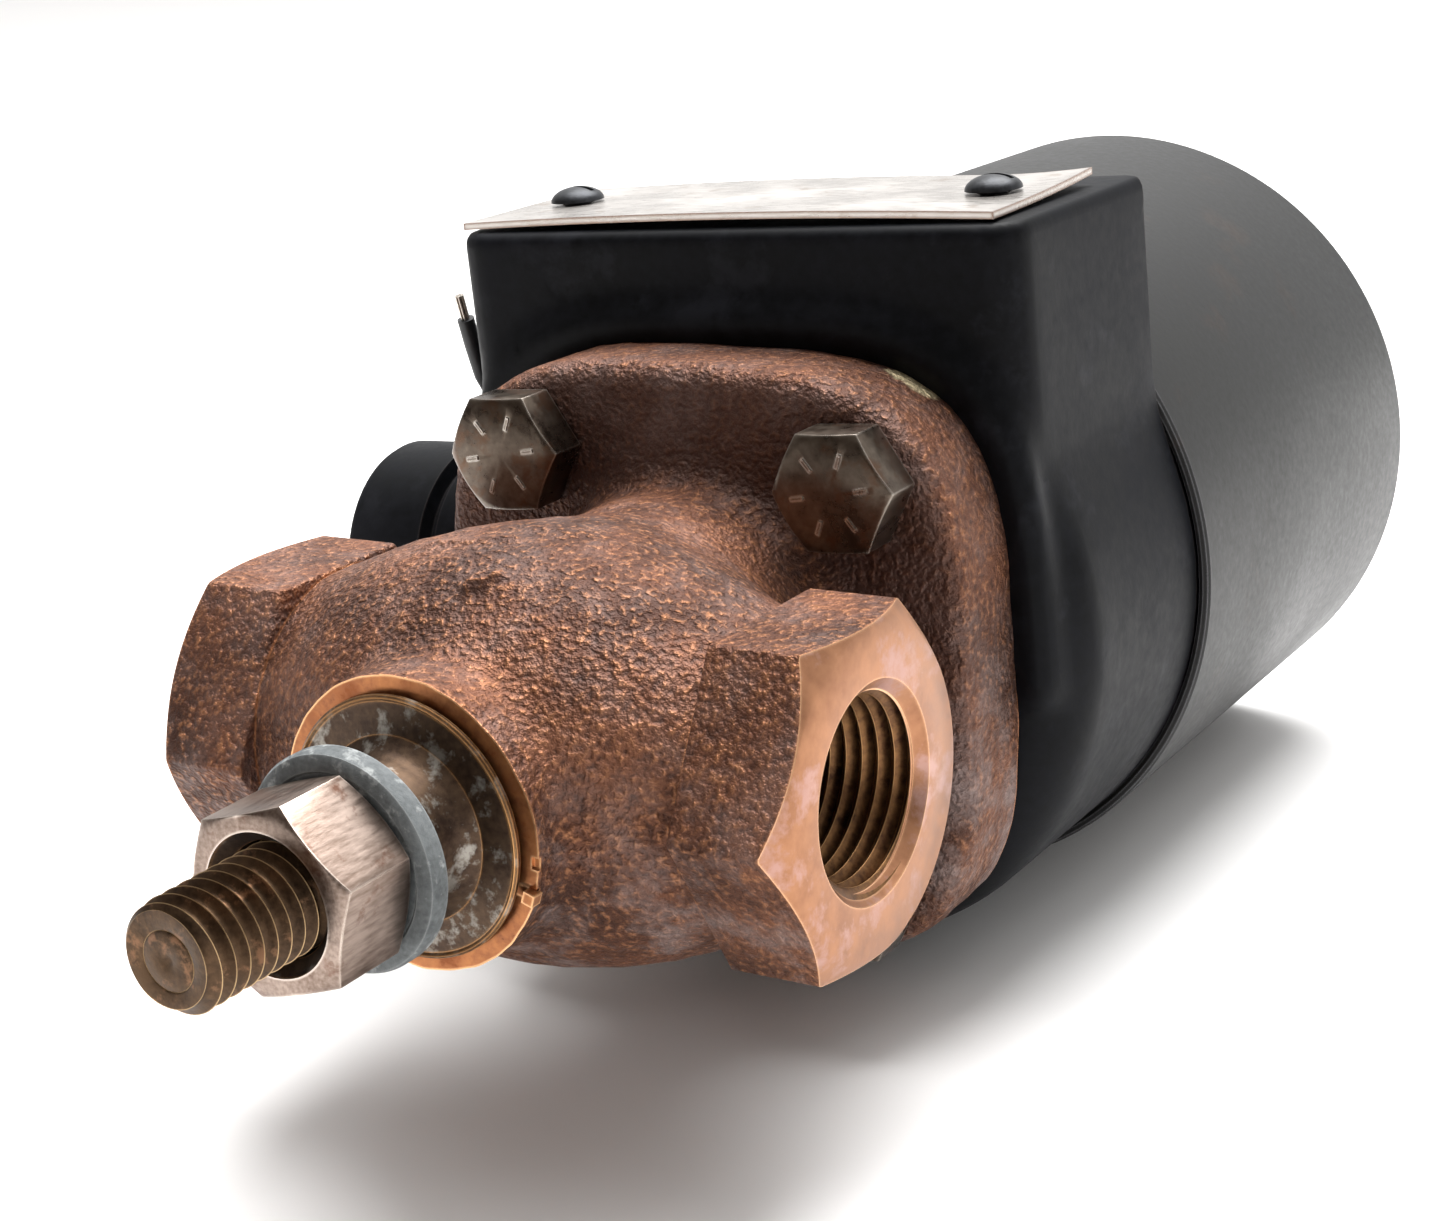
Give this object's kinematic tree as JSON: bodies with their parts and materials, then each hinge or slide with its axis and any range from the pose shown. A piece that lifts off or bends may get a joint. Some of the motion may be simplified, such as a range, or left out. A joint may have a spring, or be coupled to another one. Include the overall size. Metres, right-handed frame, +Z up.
{
  "type": "solenoid valve",
  "caption": "Bronze globe-body solenoid valve with hexagon ports, a manual stem with lock nut, a square bolted flange, a black coil housing, a conduit socket and short leads.",
  "frame": {"origin": "middle of the footprint on the floor, with the valve lying on the round side of its coil can", "axes": "+X from inlet to outlet along the port axis, +Y along the valve axis from the stem to the coil, +Z up, out of the nameplate"},
  "size_m": [0.1085, 0.2178, 0.0937],
  "materials": {
    "cast_bronze": "sand-cast bronze, reddish brown with bright worn edges",
    "machined_brass": "dull machined brass",
    "stainless_steel": "stainless steel, machined",
    "nickel_plate": "nickel plate with brushed scratches",
    "soft_steel": "plain turned steel",
    "copper": "bright copper",
    "black_enamel": "semi-gloss black enamel on steel",
    "aluminium_plate": "worn plain aluminium plate without text",
    "grey_fibre": "compressed grey fibre sheet",
    "ptfe": "white PTFE",
    "black_nylon": "black moulded nylon",
    "coil_varnish": "varnished copper magnet wire under tape",
    "lead_insulation": "black rubber insulation",
    "tinned_copper": "bare tinned copper strands"
  },
  "bodies": {
    "valve": {"valve_body": "cast_bronze", "bottom_bushing": "machined_brass", "stem_packing": "ptfe", "sealing_washer": "grey_fibre", "lock_nut": "nickel_plate", "seat_ring": "stainless_steel", "plunger_spring": "stainless_steel", "core_tube": "stainless_steel", "core_stop": "soft_steel", "shading_ring": "copper", "body_gasket": "grey_fibre", "bonnet": "soft_steel", "spacer_sleeve": "soft_steel", "front_flux_plate": "soft_steel", "coil_bobbin": "black_nylon", "coil_winding": "coil_varnish", "rear_flux_plate": "soft_steel", "spring_washer": "stainless_steel", "coil_can": "black_enamel", "end_washer": "nickel_plate", "end_nut": "nickel_plate", "housing_base": "black_enamel", "conduit_hub": "black_enamel", "nameplate": "aluminium_plate", "nameplate_screw_1": "soft_steel", "nameplate_screw_2": "soft_steel", "lead_wire_1": "lead_insulation", "lead_wire_2": "lead_insulation", "lead_core_1": "tinned_copper", "lead_core_2": "tinned_copper", "flange_bolt_1": "stainless_steel", "flange_bolt_2": "stainless_steel", "flange_bolt_3": "stainless_steel", "flange_bolt_4": "stainless_steel"},
    "plunger_assembly": {"plunger": "soft_steel", "disc_holder": "machined_brass", "seat_disc": "ptfe", "disc_screw": "stainless_steel"},
    "push_tip": {"push_tip": "stainless_steel"},
    "manual_stem": {"manual_stem": "machined_brass"}
  },
  "joints": [
    {"name": "plunger_lift", "type": "slide", "parent": "valve", "child": "plunger_assembly", "axis": [0, 1, 0], "range_m": [0, 0.006], "stiffness_N_per_m": 400, "springref_m": -0.01, "deforming": ["plunger_spring"]},
    {"name": "stem_travel", "type": "slide", "parent": "valve", "child": "push_tip", "axis": [0, 1, 0], "range_m": [0, 0.006]},
    {"name": "stem_turn", "type": "hinge", "parent": "push_tip", "child": "manual_stem", "pos_m": [0.00875, -0.0811, 0.0425], "axis": [0, 1, 0], "range_deg": [0, 1191]}
  ],
  "couplings": [
    {"joint": "stem_turn", "follows": "stem_travel", "rad_per_m": 3463.2}
  ]
}
